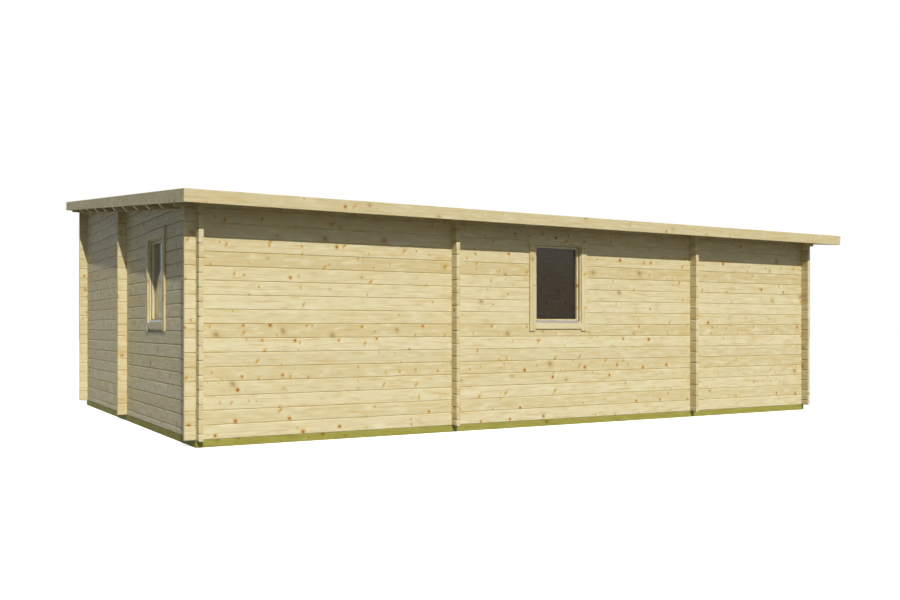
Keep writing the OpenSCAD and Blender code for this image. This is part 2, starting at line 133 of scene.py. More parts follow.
scene.view_settings.view_transform = "Standard"
sun = bpy.data.objects.new("sun", bpy.data.lights.new("sun", "SUN"))
sun.data.energy = SUN_STRENGTH
sun.data.color = linear("#fff8ea")[:3]
sun.data.angle = math.radians(SUN_ANGLE_DEG)
sun.rotation_euler = SUN_TRAVEL.to_track_quat("-Z", "Y").to_euler()
scene.collection.objects.link(sun)
print("sun stands", round(math.degrees(math.asin(-SUN_TRAVEL.normalized().z)), 1), "degrees high")

# %% [markdown]
# ## The sky
# A soft sky lights the shaded sides. It could be a picture of a sky, but a smooth colour gradient is enough: dull near
# the ground, bluer and brighter above and behind the cabin, which is what the panes mirror. It is dimmer on the left,
# so that the short wall stays dark. The camera itself sees a plain white backdrop.

# %% Sky
SKY_STRENGTH = 1.0
# Each band fades in along one axis of the ray (0 is X, 1 is Y, 2 is Z), from the first value to the second.
SKY_BANDS = {"behind": (1, -0.3, 0.6), "left": (0, -0.1, -0.8), "right": (0, 0.15, 0.45),
             "above": (2, -0.06, 0.02), "clear": (2, 0.03, 0.2), "high": (2, 0.2, 0.75)}

world = bpy.data.worlds.new("studio_sky")
world.use_nodes = True
world.node_tree.nodes.clear()
scene.world = world
tree = world.node_tree
ray = add(tree, "SeparateXYZ", add(tree, "TexCoord")).node.outputs
band = {name: add(tree, "MapRange", ray[axis], start, end, 0.0, 1.0, interpolation_type="SMOOTHSTEP")
        for name, (axis, start, end) in SKY_BANDS.items()}
near_haze = add(tree, "Mix", band["right"], linear("#e8eff2"), linear("#ab9c88"), data_type="RGBA")
haze = add(tree, "Mix", band["behind"], near_haze, linear("#b7cbda"), data_type="RGBA")
low_sky = add(tree, "Mix", band["behind"], linear("#dadfe2"), linear("#9db2c8"), data_type="RGBA")
lower = add(tree, "Mix", band["clear"], haze, low_sky, data_type="RGBA")
sky = add(tree, "Mix", band["high"], lower, linear("#bcc0c8"), data_type="RGBA")
dimmed = add(tree, "Mix", band["left"], sky, linear("#868686"), data_type="RGBA", blend_type="MULTIPLY")
around = add(tree, "Mix", band["above"], linear("#40433d"), dimmed, data_type="RGBA")
seen = add(tree, "LightPath")
light = add(tree, "Background", around, SKY_STRENGTH)
backdrop = add(tree, "Background", linear("#ffffff"), 1.0)
add(tree, "OutputWorld", add(tree, "MixShader", seen, light, backdrop))
print("sky of", len(SKY_BANDS), "bands")

# %% [markdown]
# ## The floor
# The cabin stands on plain white. A wide pale sheet lies just under its base and glows a little, so that it comes out
# as white as the backdrop. It sends no light to the walls, because the dull ground of the sky already does that.

# %% Floor
FLOOR_REACH = 80.0
FLOOR_LEVEL = -0.5 * MM
FLOOR_CLOUD = 3333 * MM

# Pale painted floor: matt, with a faint cloudiness from the roller.
floor_material, tree = new_material("pale_studio_floor")
cloud = add(tree, "TexNoise", {"Vector": add(tree, "TexCoord", out=3), "Scale": 1 / FLOOR_CLOUD})
tone = add(tree, "ValToRGB", cloud, ramp=[(0.0, "#ededec"), (1.0, "#f3f3f2")])
coat = add(tree, "BsdfPrincipled", {"Base Color": tone, "Roughness": 0.9,
                                    "Emission Color": linear("#ffffff"), "Emission Strength": 0.75})
add(tree, "OutputMaterial", coat)
reach = np.linspace(-FLOOR_REACH, FLOOR_REACH, 3)
grid_x, grid_y = np.meshgrid(reach, reach)
floor_points = np.stack([grid_x, grid_y, np.full_like(grid_x, FLOOR_LEVEL)], -1).reshape(-1, 3)
corner = np.array([0, 1, 3, 4])
floor_faces = np.stack([corner, corner + 1, corner + 4, corner + 3], 1)
floor_mesh = bpy.data.meshes.new("floor")
floor_mesh.from_pydata(floor_points.tolist(), [], floor_faces.tolist())
floor_mesh.materials.append(floor_material)
floor = bpy.data.objects.new("floor", floor_mesh)
floor.visible_diffuse = False
scene.collection.objects.link(floor)
print("floor of", len(floor_faces), "faces")

# %% [markdown]
# ## Spruce
# Planed spruce is pale and yellowish, with darker lines where the saw cut the growth rings, ochre streaks along the
# grain, and knots where branches grew. It could be an image, but an image repeats and has one scale. This is a solid
# pattern: rings are cylinders round the heart of the tree, so the faces show long lines and the sawn ends show arcs,
# and each log has its own heart, tone and knots.
# Each log is cut into cells along its length, with one knot in each, so a knot goes right through the log.

# %% Knots
COURSE = 135 * MM
KNOT_RIPPLE = 18 * MM


def knot_row(log, layer, period, radius, stretch, sharp, tilt, sway, row, spread, share):
    """At most one knot in each stretch of a log, for a share of them. It lies in the middle 70 percent of its stretch,
    near the log's own row, and is turned by tilt and a random part of sway. Its outline is a stretched circle of
    0.7 to 1.6 radii with a ripple, and its halo is twice as large. Returns its core, its halo, the mask of a painted
    highlight beside it and a random number."""
    tree, along, height, piece, shift = log
    cell_place = add(tree, "Math", along, 1 / period, shift, operation="MULTIPLY_ADD")
    cell = add(tree, "Math", cell_place, operation="FLOOR")
    seed = add(tree, "CombineXYZ", cell, piece, layer)
    chance = add(tree, "TexWhiteNoise", seed, noise_dimensions="3D")
    dice = add(tree, "SeparateColor", chance.node.outputs["Color"]).node.outputs
    where = add(tree, "Math", dice[0], 0.7, 0.15, operation="MULTIPLY_ADD")
    inside = add(tree, "Math", add(tree, "Math", cell_place, operation="FRACT"), where, operation="SUBTRACT")
    off_along = add(tree, "Math", inside, period, operation="MULTIPLY")
    row_level = add(tree, "Math", row, (1 - spread) * COURSE, operation="MULTIPLY")
    level = add(tree, "Math", dice[1], spread * COURSE, row_level, operation="MULTIPLY_ADD")
    off_height = add(tree, "Math", height, level, operation="SUBTRACT")
    angle = add(tree, "Math", dice[2], sway, tilt, operation="MULTIPLY_ADD")
    turned = add(tree, "VectorRotate", add(tree, "CombineXYZ", off_along, off_height, 0.0), None, angle,
                 rotation_type="Z_AXIS")
    metric = add(tree, "VectorMath", turned, (stretch, 1.0, 1.0), operation="DIVIDE")
    distance = add(tree, "VectorMath", metric, operation="LENGTH")
    ripple = add(tree, "TexNoise", {"Vector": turned, "Scale": 1 / KNOT_RIPPLE, "Detail": 1.0})
    uneven = add(tree, "Math", ripple, 0.8 * radius, distance, operation="MULTIPLY_ADD")
    there = add(tree, "Math", chance, share, operation="LESS_THAN")
    size = add(tree, "Math", dice[2], 0.9 * radius, 0.7 * radius, operation="MULTIPLY_ADD")
    own_size = add(tree, "Math", size, there, operation="MULTIPLY")
    near = add(tree, "Math", own_size, sharp, operation="MULTIPLY")
    far = add(tree, "Math", own_size, 2.0, operation="MULTIPLY")
    core = add(tree, "MapRange", uneven, own_size, near, 0.0, 1.0, interpolation_type="SMOOTHSTEP")
    halo = add(tree, "MapRange", uneven, far, near, 0.0, 1.0, interpolation_type="SMOOTHSTEP")
    # Painted highlight: a paler patch beside the knot, where the fibres turn towards the light.
    beside = add(tree, "VectorMath", turned, (0.0, 2.2 * radius, 0.0), operation="SUBTRACT")
    aside = add(tree, "VectorMath", beside, operation="LENGTH")
    gleam = add(tree, "MapRange", aside, add(tree, "Math", own_size, 1.5, operation="MULTIPLY"), 0.0, 0.0, 1.0,
                interpolation_type="SMOOTHSTEP")
    return core, halo, gleam, dice[0]


print("a course is", COURSE, "m high")

# %% [markdown]
# The grain itself goes into a node group, so that logs, beams and boards share one recipe. It takes the place of a
# point in its own log (along, across, up) and a number that tells the logs apart. From that number come a few random
# ones: how many knots this log has, where their row lies, how pale the log is. Four kinds of knot are drawn: round
# ones, slanted spikes, small twigs and blurred grey marks.

# %% Knots of a log
UPRIGHT = math.pi / 2
OTHER_DICE, CELL_SHIFT = 77.3, 23.0  # any numbers that keep the logs' dice apart

grain = bpy.data.node_groups.new("spruce_grain", "ShaderNodeTree")
for label, way, kind in [("Place", "INPUT", "Vector"), ("Piece", "INPUT", "Float"),
                         ("Color", "OUTPUT", "Color"), ("Height", "OUTPUT", "Float")]:
    grain.interface.new_socket(label, in_out=way, socket_type="NodeSocket" + kind)
entry = grain.nodes.new("NodeGroupInput").outputs
exit_ = grain.nodes.new("NodeGroupOutput").inputs

along, across, height = add(grain, "SeparateXYZ", entry["Place"]).node.outputs
chance = add(grain, "TexWhiteNoise", entry["Piece"], noise_dimensions="1D")
toss = add(grain, "SeparateColor", chance.node.outputs["Color"]).node.outputs
other = add(grain, "TexWhiteNoise", add(grain, "Math", entry["Piece"], OTHER_DICE, operation="ADD"),
            noise_dimensions="1D")
second = add(grain, "SeparateColor", other.node.outputs["Color"]).node.outputs
shift = add(grain, "Math", chance, CELL_SHIFT, operation="MULTIPLY")
# By its own dice a log has few knots of a kind or many: the last two numbers are the least and the largest share.
dotted = add(grain, "MapRange", toss[0], 0.45, 0.65, 0.06, 0.60)
spiky = add(grain, "MapRange", toss[1], 0.45, 0.75, 0.10, 0.65)
cloudy = add(grain, "MapRange", toss[2], 0.4, 0.9, 0.12, 0.7)
log = (grain, along, height, entry["Piece"], shift)
knot, knot_halo, knot_gleam, knot_dice = knot_row(
    log, layer=1.0, period=410 * MM, radius=16 * MM, stretch=1.0, sharp=0.75, tilt=UPRIGHT, sway=0.0,
    row=second[1], spread=0.3, share=dotted)
spike, spike_halo, spike_gleam, _ = knot_row(
    log, layer=2.0, period=360 * MM, radius=12 * MM, stretch=2.0, sharp=0.6, tilt=0.8, sway=1.7,
    row=0.5, spread=1.0, share=spiky)
twig, twig_halo, _, _ = knot_row(
    log, layer=3.0, period=250 * MM, radius=8 * MM, stretch=1.5, sharp=0.75, tilt=0.6, sway=2.0,
    row=0.5, spread=1.0, share=0.3)
smudge, smudge_halo, _, _ = knot_row(
    log, layer=4.0, period=640 * MM, radius=30 * MM, stretch=1.3, sharp=0.35, tilt=0.0, sway=1.0,
    row=0.5, spread=0.8, share=cloudy)
print("knots:", len(grain.nodes), "nodes")

# %% [markdown]
# Rings are the distance to the heart of the tree, cut into equal steps. The heart wanders slowly along the log and the
# tree tapers, so the lines on a face run into long tongues, and they bend round each knot. Each ring ends in dark,
# hard late wood, which a power of the step gives.

# %% Growth rings
RING = 10 * MM  # growth rings are 2 to 4 mm apart, drawn wider so that they show in the picture
HEART_BEND = 1111 * MM
HEART_SWAY = 160 * MM
HEART_ASIDE = 100 * MM
TREE_TAPER = 0.012
KNOT_BEND = 12 * MM
FIBRE = (454.5 * MM, 18.18 * MM, 18.18 * MM)
FIBRE_WOBBLE = 5 * MM
HEARTS_APART = 3.7

drift_place = add(grain, "CombineXYZ", along, 0.0,
                  add(grain, "Math", entry["Piece"], HEARTS_APART, operation="MULTIPLY"))
drift = add(grain, "TexNoise", {"Vector": drift_place, "Scale": 1 / HEART_BEND, "Detail": 1.0})
heart_up = add(grain, "Math", drift, HEART_SWAY, add(grain, "Math", toss[1], COURSE, operation="MULTIPLY"),
               operation="MULTIPLY_ADD")
heart_level = add(grain, "Math", heart_up, HEART_SWAY / 2, operation="SUBTRACT")
heart_across = add(grain, "Math", toss[2], HEART_ASIDE, HEART_ASIDE, operation="MULTIPLY_ADD")
spoke = add(grain, "CombineXYZ", add(grain, "Math", across, heart_across, operation="SUBTRACT"),
            add(grain, "Math", height, heart_level, operation="SUBTRACT"), 0.0)
spread = add(grain, "VectorMath", spoke, operation="LENGTH")
taper = add(grain, "Math", along, TREE_TAPER, spread, operation="MULTIPLY_ADD")
bend = add(grain, "Math", knot_halo, KNOT_BEND, taper, operation="MULTIPLY_ADD")
fibre_place = add(grain, "VectorMath", entry["Place"], FIBRE, operation="DIVIDE")
fibre = add(grain, "TexNoise", {"Vector": fibre_place, "Scale": 1.0, "Detail": 2.0})
rings = add(grain, "Math", fibre, FIBRE_WOBBLE, bend, operation="MULTIPLY_ADD")
year = add(grain, "Math", add(grain, "Math", rings, 1 / RING, operation="MULTIPLY"), operation="FRACT")
late_wood = add(grain, "Math", year, 3.0, operation="POWER")
print("rings are drawn", RING, "m apart")

# %% [markdown]
# Over the rings lie ochre streaks, drawn out along the grain, and broad clouds of duller and brighter wood. Last come
# the knots, each with a golden halo where resin has stained the wood, and a painted highlight beside it where the
# fibres turn towards the light. Every layer is mixed in by its own mask.

# %% Colours of spruce
STREAK = (420 * MM, 18 * MM, 18 * MM)
CLOUD = (170 * MM, 60 * MM, 50 * MM)
# The first colour is a painted highlight beside the knots; the second is a real resin stain.
PAINTED_GLEAM, RESIN = "#e8e3cd", "#c99a30"

own = add(grain, "CombineXYZ", shift, entry["Piece"], 0.0)
streak_place = add(grain, "VectorMath", add(grain, "VectorMath", entry["Place"], STREAK, operation="DIVIDE"), own)
streak = add(grain, "TexNoise", {"Vector": streak_place, "Scale": 1.0, "Detail": 3.0, "Distortion": 0.5})
cloud_place = add(grain, "VectorMath", add(grain, "VectorMath", entry["Place"], CLOUD, operation="DIVIDE"), own)
cloud = add(grain, "TexNoise", {"Vector": cloud_place, "Scale": 1.0, "Detail": 2.0})
ochre = add(grain, "MapRange", streak, 0.5, 0.75, 0.0, 0.6, interpolation_type="SMOOTHSTEP")
dull = add(grain, "MapRange", cloud, 0.5, 0.8, 0.0, 0.6, interpolation_type="SMOOTHSTEP")
bright = add(grain, "MapRange", cloud, 0.5, 0.25, 0.0, 0.6, interpolation_type="SMOOTHSTEP")

colour = add(grain, "ValToRGB", second[0],
             ramp=[(0.0, "#dcd4b0"), (0.35, "#d6cda5"), (0.7, "#cdc194"), (1.0, "#d6ceab")])
knot_tint = add(grain, "ValToRGB", knot_dice,
                ramp=[(0.0, "#945812"), (0.4, "#b57616"), (0.75, "#a56812"), (1.0, "#755630")])
# The two gleam layers are painted highlights; the other layers are the wood's own colours.
layers = [(dull, 1.0, "#c5b07a"), (bright, 1.0, "#e4dec3"), (ochre, 1.0, "#c4a75f"), (late_wood, 0.25, "#b3905a"),
          (spike_gleam, 0.3, PAINTED_GLEAM), (knot_gleam, 0.2, PAINTED_GLEAM),
          (smudge_halo, 0.4, "#b89c5c"), (smudge, 0.6, "#8a6a3c"),
          (twig_halo, 0.45, "#c99a38"), (twig, 0.7, "#b07c2a"),
          (spike_halo, 0.5, "#cba440"), (spike, 0.7, "#b48628"), (knot_halo, 0.6, RESIN)]
for mask, weight, tint in layers:
    amount = add(grain, "Math", mask, weight, operation="MULTIPLY")
    colour = add(grain, "Mix", amount, colour, linear(tint), data_type="RGBA")
finish = add(grain, "Mix", add(grain, "Math", knot, 0.95, operation="MULTIPLY"), colour, knot_tint, data_type="RGBA")
grain.links.new(finish, exit_["Color"])
relief = add(grain, "Math", late_wood, 0.6, knot, operation="MULTIPLY_ADD")
grain.links.new(relief, exit_["Height"])
print("spruce grain:", len(grain.nodes), "nodes,", len(layers) + 1, "layers of colour")

# %% [markdown]
# ## Planed softwood
# A planer leaves softwood matt, with the hard rings and the knots standing out by a fraction of a millimetre. One
# shader serves every wooden piece, so that logs and boards look cut from the same timber. A colour filter, painted
# shade in the open joints and rounded edges are added only where a piece has them.

# %% Wood shader
WOOD_ROUGHNESS = (0.62, 0.5)
WOOD_RELIEF = 0.4 * MM
# Painted shade: the colour of the open joints between logs, where the groove lies in shadow.
JOINT_SHADE = "#3f3322"


def wood_shader(tree, place, piece, gloss=0.35, filter_code=None, joint_shade_mask=None, worn=None):
    """Planed softwood: matt, a little smoother on the rings, with rings and knots that stand out slightly.
    Where the joint mask is one, painted shade darkens the open joint to the next log.
    The surface lies lower by worn metres."""
    wood = tree.nodes.new("ShaderNodeGroup")
    wood.node_tree = grain
    tree.links.new(place, wood.inputs["Place"])
    tree.links.new(piece, wood.inputs["Piece"])
    colour = wood.outputs["Color"]
    if filter_code:
        colour = add(tree, "Mix", 1.0, colour, linear(filter_code), data_type="RGBA", blend_type="MULTIPLY")
    if joint_shade_mask:
        colour = add(tree, "Mix", joint_shade_mask, colour, linear(JOINT_SHADE), data_type="RGBA")
    rough = add(tree, "MapRange", wood.outputs["Height"], 0.0, 1.0, *WOOD_ROUGHNESS)
    rounded = add(tree, "Bump", {"Height": worn, "Strength": 1.0, "Distance": -1.0}) if worn else None
    bump = add(tree, "Bump", {"Height": wood.outputs["Height"], "Strength": 0.35, "Distance": WOOD_RELIEF,
                              "Normal": rounded})
    coat = add(tree, "BsdfPrincipled", {"Base Color": colour, "Roughness": rough, "Normal": bump,
                                        "Specular IOR Level": gloss})
    add(tree, "OutputMaterial", coat)


print("wood is rough by", *WOOD_ROUGHNESS)

# %% [markdown]
# ## Logs and purlins
# The logs keep their CAD shape, because tongues, bevels and notches are already there. They could get one material
# each, but there are hundreds of them. So their material finds out from a point's place which log it is in: the course
# from its height, the wall from its place across.

# %% Log materials
BASE_TOP = 70 * MM
WALL_PITCH = 300 * MM
LOGS_PER_WALL = 31.0  # more than a wall has, so that no two logs share a number


def log_material(name, axis, course, start, pitch, offset, gloss=0.35, filter_code=None, joint_shade_share=0.0, eased=0.0):
    """Wood for CAD logs along one axis, in courses that begin at start and walls one pitch apart. The joints get
    a share of painted shade, for the shadow in their groove, and the top edge under the bevel is eased by some depth."""
    material, tree = new_material(name)
    point = add(tree, "SeparateXYZ", add(tree, "TexCoord", out=3)).node.outputs
    along, side = (point[0], point[1]) if axis == "X" else (point[1], point[0])
    rise = add(tree, "Math", add(tree, "Math", point[2], start, operation="SUBTRACT"), course, operation="DIVIDE")
    walls = add(tree, "Math", add(tree, "Math", side, offset, operation="SUBTRACT"), pitch, operation="DIVIDE")
    level = add(tree, "Math", rise, operation="FLOOR")
    wall = add(tree, "Math", walls, operation="FLOOR")
    piece = add(tree, "Math", wall, LOGS_PER_WALL, level, operation="MULTIPLY_ADD")
    up = add(tree, "Math", add(tree, "Math", rise, operation="FRACT"), course, operation="MULTIPLY")
    across = add(tree, "Math", add(tree, "Math", walls, operation="FRACT"), pitch, operation="MULTIPLY")
    joint_shade_mask = worn = None
    # Painted shade: darker within 4 mm of each joint, most at 1 mm, where the groove between logs lies in shadow.
    if joint_shade_share:
        edge = add(tree, "Math", up, add(tree, "Math", course, up, operation="SUBTRACT"), operation="MINIMUM")
        joint_shade_mask = add(tree, "MapRange", edge, 4 * MM, 1 * MM, 0.0, joint_shade_share)
    if eased:
        worn = add(tree, "MapRange", up, course - 16 * MM, course - 8 * MM, 0.0, eased)
    wood_shader(tree, add(tree, "CombineXYZ", along, across, up), piece, gloss, filter_code, joint_shade_mask, worn)
    return material


def dress(material, *names):
    """Puts a material on CAD nodes."""
    for name in names:
        NODES[name].data.materials.clear()
        NODES[name].data.materials.append(material)
    print(material.name, "on", len(names), "nodes")


print("walls are told apart every", WALL_PITCH, "m")

# %% [markdown]
# The side walls lie half a course higher than the long ones, so that the logs can cross. Their joints lie in shade,
# so painted shade darkens them, and their top edges are rounder. A purlin is one log high, so its course is higher
# than the roof.

# %% Logs and purlins
PURLIN_PITCH = 569.8 * MM
REAR_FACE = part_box("rear_base_beam")[0].y
# Planed spruce: pale, warm and matt, with its rings, knots and streaks in plain sight.
x_logs = log_material("planed_spruce_logs_along_x", "X", COURSE, BASE_TOP, WALL_PITCH, 0.0)
# The logs along Y get painted shade in their joints and eased top edges.
y_logs = log_material("planed_spruce_logs_along_y", "Y", COURSE, BASE_TOP - COURSE / 2, WALL_PITCH, 0.0,
                      joint_shade_share=0.7, eased=4 * MM)
roof_beams = log_material("planed_spruce_purlins", "X", course=5.0, start=0.0, pitch=PURLIN_PITCH,
                          offset=REAR_FACE - PURLIN_PITCH / 2)
dress(x_logs, "rear_wall", "front_wall", "left_room_partition", "middle_room_partition",
      "rear_wall_plate", "front_wall_plate")
dress(y_logs, "left_wall", "right_wall", "left_cross_wall", "right_cross_wall")
dress(roof_beams, "purlins")

# %% [markdown]
# ## Base beams and joists
# Wood near the ground is pressed full of a green salt against rot. The grain still shows through, so this is the same
# pattern under an olive filter. A painted green would hide the rings.

# %% Treated beams
OLIVE_SALT = "#c0c885"
DULL_GLOSS = 0.03
JOIST_PITCH = 620 * MM
# Pressure-treated pine: olive, and dull because the salt has soaked into the surface.
x_beams = log_material("pressure_treated_pine_along_x", "X", course=1.0, start=-20 * MM, pitch=JOIST_PITCH,
                       offset=REAR_FACE, gloss=DULL_GLOSS, filter_code=OLIVE_SALT)
y_beams = log_material("pressure_treated_pine_along_y", "Y", course=1.0, start=-20 * MM, pitch=1.0,
                       offset=300 * MM, gloss=DULL_GLOSS, filter_code=OLIVE_SALT)
dress(x_beams, "rear_base_beam", "front_base_beam", "floor_joists")
dress(y_beams, "left_base_beam", "right_base_beam", "inner_base_beams")

# %% [markdown]
# ## Boards
# Fascias, trims, frames and linings are planed boards whose sharp edges were taken off. A bevel modifier on a box
# would do, but here many boards are made at once: the section is a rectangle with cut corners, carried along four
# stations, and the first and last station are drawn in. The boards take their places from the CAD solids.

# %% Boxes of the CAD solids
SAME_POINT = 0.05 * MM


def solid_boxes(node, turn=np.eye(3)):
    """Low and high corners of each solid of a CAD node, along turned axes.
    Equal points share a label, and the least label spreads over each triangle until nothing changes."""
    mesh = NODES[node].data
    points = np.empty(3 * len(mesh.vertices), np.float32)
    mesh.vertices.foreach_get("co", points)
    points = points.reshape(-1, 3).astype(float)
    corners = np.empty(3 * len(mesh.polygons), np.int32)
    mesh.polygons.foreach_get("vertices", corners)
    same = np.unique(np.round(points / SAME_POINT).astype(np.int64), axis=0, return_inverse=True)[1].ravel()
    corners = same[corners.reshape(-1, 3)]
    label, before = np.arange(same.max() + 1), None
    while before is None or (label != before).any():
        before = label.copy()
        np.minimum.at(label, corners.ravel(), np.repeat(label[corners].min(1), 3))
    solid = np.unique(label[same], return_inverse=True)[1].ravel()
    low = np.full((solid.max() + 1, 3), np.inf)
    high = -low
    np.minimum.at(low, solid, points @ turn)
    np.maximum.at(high, solid, points @ turn)
    return low, high


print("boards of the door trim:", len(solid_boxes("door_trim")[0]))

# %% [markdown]
# The section has eight points, two at each corner. SIDE_B and SIDE_C say on which side of the middle a point lies, and
# CUT_B whether the corner's cut moves it along the first of these axes or the second.

# %% Board surfaces
SIDE_B = np.array([1, 1, 1, -1, -1, -1, -1, 1.0])
SIDE_C = np.array([-1, 1, 1, 1, 1, -1, -1, -1.0])
CUT_B = np.array([0, 0, 1, 1, 0, 0, 1, 1.0])
STATION = np.array([-1, -1, 1, 1.0])
DRAWN = np.array([1, 0, 0, 1.0])
SECTION_POINTS = SIDE_B.size
BOARD_POINTS = SECTION_POINTS * STATION.size
TREE_LENGTH, TREES = 60, 900  # each board is cut from some place in one of many long trees


def eased_boards(low, high, ease):
    """Boards between low and high corners: an eight-point section with its corners cut by ease, carried along the
    longest axis over four stations, the outer two drawn in by ease. Gives points, faces and grain coordinates."""
    count = len(low)
    axes = ((high - low).argmax(1)[:, None] + np.arange(3)) % 3
    lo, hi = np.take_along_axis(low, axes, 1), np.take_along_axis(high, axes, 1)
    half, middle = (hi - lo) / 2, (hi + lo) / 2
    reach = STATION * (half[:, :1] - (1 - DRAWN) * ease)
    side_b = SIDE_B * (half[:, 1, None, None] - CUT_B * ease - DRAWN[:, None] * ease)
    side_c = SIDE_C * (half[:, 2, None, None] - (1 - CUT_B) * ease - DRAWN[:, None] * ease)
    own = np.stack([np.broadcast_to(reach[:, :, None], side_b.shape), side_b, side_c], -1)
    points = np.empty_like(own)
    np.put_along_axis(points, np.broadcast_to(axes[:, None, None], own.shape),
                      own + middle[:, None, None], -1)
    ring, first = np.arange(SECTION_POINTS), np.arange(count)[:, None] * BOARD_POINTS
    step = (ring + 1) % SECTION_POINTS
    band = np.stack([ring, step, step + SECTION_POINTS, ring + SECTION_POINTS], 1)
    side = (SECTION_POINTS * np.arange(STATION.size - 1)[:, None, None] + band).reshape(-1, 4)
    quads = (first[:, :, None] + side).reshape(-1, 4)
    caps = np.concatenate([first + ring[::-1], first + BOARD_POINTS - SECTION_POINTS + ring])
    wide = (half[:, 1] < half[:, 2])[:, None, None]
    flat, thick = np.where(wide, own[..., 2], own[..., 1]), np.where(wide, own[..., 1], own[..., 2])
    shift = rng.uniform(0, TREE_LENGTH, (count, 1, 1))
    place = np.stack([own[..., 0] + shift, thick + WALL_PITCH / 2, flat + COURSE / 2], -1).reshape(-1, 3)
    piece = np.repeat(rng.uniform(0, TREES, count), BOARD_POINTS)
    return points.reshape(-1, 3), quads.tolist() + caps.tolist(), place, piece


print("a board has", BOARD_POINTS, "points")

# %% [markdown]
# A piece is a mesh object at the origin, with its place in its points, and it rides on the cabin. Where it takes the
# place of a CAD solid, that solid is hidden and stays for the motion model.

# %% Pieces
def put_piece(name, points, faces, material, hides=(), place=None, piece=None):
    """A new mesh object at the origin that rides on the cabin, with grain coordinates where it has them."""
    mesh = bpy.data.meshes.new(name)
    mesh.from_pydata(points.tolist(), [], faces)
    if place is not None:
        mesh.attributes.new("grain_place", "FLOAT_VECTOR", "POINT").data.foreach_set("vector", place.ravel())
        mesh.attributes.new("grain_piece", "FLOAT", "POINT").data.foreach_set("value", piece)
    mesh.materials.append(material)
    shape = bpy.data.objects.new(name, mesh)
    scene.collection.objects.link(shape)
    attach(shape, "root")
    if hides:
        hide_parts(*hides)
    print(name, len(faces), "faces")


# Planed spruce boards: the same wood as the logs, read from each board's own grain coordinates.
board_wood, tree = new_material("planed_spruce_boards")
wood_shader(tree, add(tree, "Attribute", attribute_name="grain_place", out=1),
            add(tree, "Attribute", attribute_name="grain_piece", out=2))


def board_piece(name, low, high, ease, turn=np.eye(3), hides=()):
    """Eased boards in a turned frame, as one piece of planed spruce."""
    points, faces, place, piece = eased_boards(low, high, ease)
    put_piece(name, points @ turn.T, faces, board_wood, hides, place, piece)


print("boards are of", board_wood.name)

# %% [markdown]
# ## The roof
# Tongued boards run up the slope over the purlins, and show from below at the eaves. Fascia boards close the edges.
# The boards are laid out in the frame of the slope and then turned up by the pitch.

# %% Roof boards and fascias
ROOF_RISE, ROOF_RUN = 540 * MM, 5698 * MM
PITCH = math.atan2(ROOF_RISE, ROOF_RUN)
SLOPE = np.array([[1, 0, 0],
                  [0, math.cos(PITCH), -math.sin(PITCH)],
                  [0, math.sin(PITCH), math.cos(PITCH)]])
ROOF_BOARD = 96 * MM
BOARD_GAP = 0.5 * MM


def side_by_side(low, high, width):
    """Splits a flat box into boards of about that width, next to each other along X."""
    count = max(1, round((high[0] - low[0]) / width))
    edge = np.linspace(low[0], high[0], count + 1)
    lows, highs = np.tile(low, (count, 1)), np.tile(high, (count, 1))
    lows[:, 0], highs[:, 0] = edge[:-1] + BOARD_GAP / 2, edge[1:] - BOARD_GAP / 2
    return lows, highs


deck_low, deck_high = solid_boxes("roof_deck", SLOPE)
board_piece("roof_boards", *side_by_side(deck_low[0], deck_high[0], ROOF_BOARD), 2 * MM, SLOPE, ["roof_deck"])
for side in ("rear", "front", "left", "right"):
    board_piece(side + "_fascia_board", *solid_boxes(side + "_fascia", SLOPE), 2.5 * MM, SLOPE, [side + "_fascia"])

# %% [markdown]
# ## The floors
# Each room has a floor of tongued boards across the joists, so they run from back to front.

# %% Floor boards
FLOOR_BOARD = 112 * MM

for room in ("left_rear", "left_front", "middle_rear", "middle_front", "right"):
    low, high = solid_boxes(room + "_floor")
    board_piece(room + "_floor_boards", *side_by_side(low[0], high[0], FLOOR_BOARD), 1 * MM, hides=[room + "_floor"])

# %% [markdown]
# ## Windows, doorways and the door
# Frames, sashes, trims and linings are boards too, one for each CAD solid.
# The left window is the rear one turned by a quarter, so its boards are measured in a turned frame.

# %% Joinery boards
QUARTER = np.array([[0, 1, 0], [-1, 0, 0], [0, 0, 1.0]])
for side, turn in (("rear", np.eye(3)), ("left", QUARTER)):
    for part, ease in (("trim", 2 * MM), ("frame", 1 * MM), ("sash", 1 * MM)):
        node = f"{side}_window_{part}"
        board_piece(node + "_boards", *solid_boxes(node, turn), ease, turn, [node])
for node, ease in (("doorway_linings", 2 * MM), ("door_frame", 2 * MM), ("door_trim", 2.5 * MM)):
    board_piece(node + "_boards", *solid_boxes(node), ease, hides=[node])

# %% [markdown]
# ## Window panes
# Insulating glass is two thin panes, one behind the other. They are flat, so they keep their CAD shape. Clear glass
# lets light through and mirrors more at a flat angle, which the shader works out from its IOR. A mix of a clear and a
# mirroring shader could be set by hand, but it would be right from one side only. The faint unevenness of the gloss
# is what rain and dust leave behind.

# %% Glass
# Clear float glass: flat and polished by fire, so it mirrors sharply and shows the room behind with hardly a tint.
glass, tree = new_material("clear_float_glass")
film = add(tree, "TexNoise", {"Vector": add(tree, "TexCoord", out=3), "Scale": 1 / (300 * MM), "Detail": 2.0})
haze = add(tree, "MapRange", film, 0.4, 0.8, 0.0, 0.004)
coat = add(tree, "BsdfPrincipled", {"Base Color": linear("#efeeeb"), "Roughness": haze, "IOR": 1.5,
                                    "Transmission Weight": 1.0})
add(tree, "OutputMaterial", coat)
dress(glass, "rear_window_glass", "left_window_glass")

# %% [markdown]
# ## Metal
# The drip strips under the sashes, the spacers between the panes and the door handle are aluminium as the mill leaves
# it. A picture of brushed metal would do, but a noise that is drawn out along the strip gives such lines at any scale.

# %% Aluminium
ROLLED_LINE = (166.7 * MM, 166.7 * MM, 1.111 * MM)
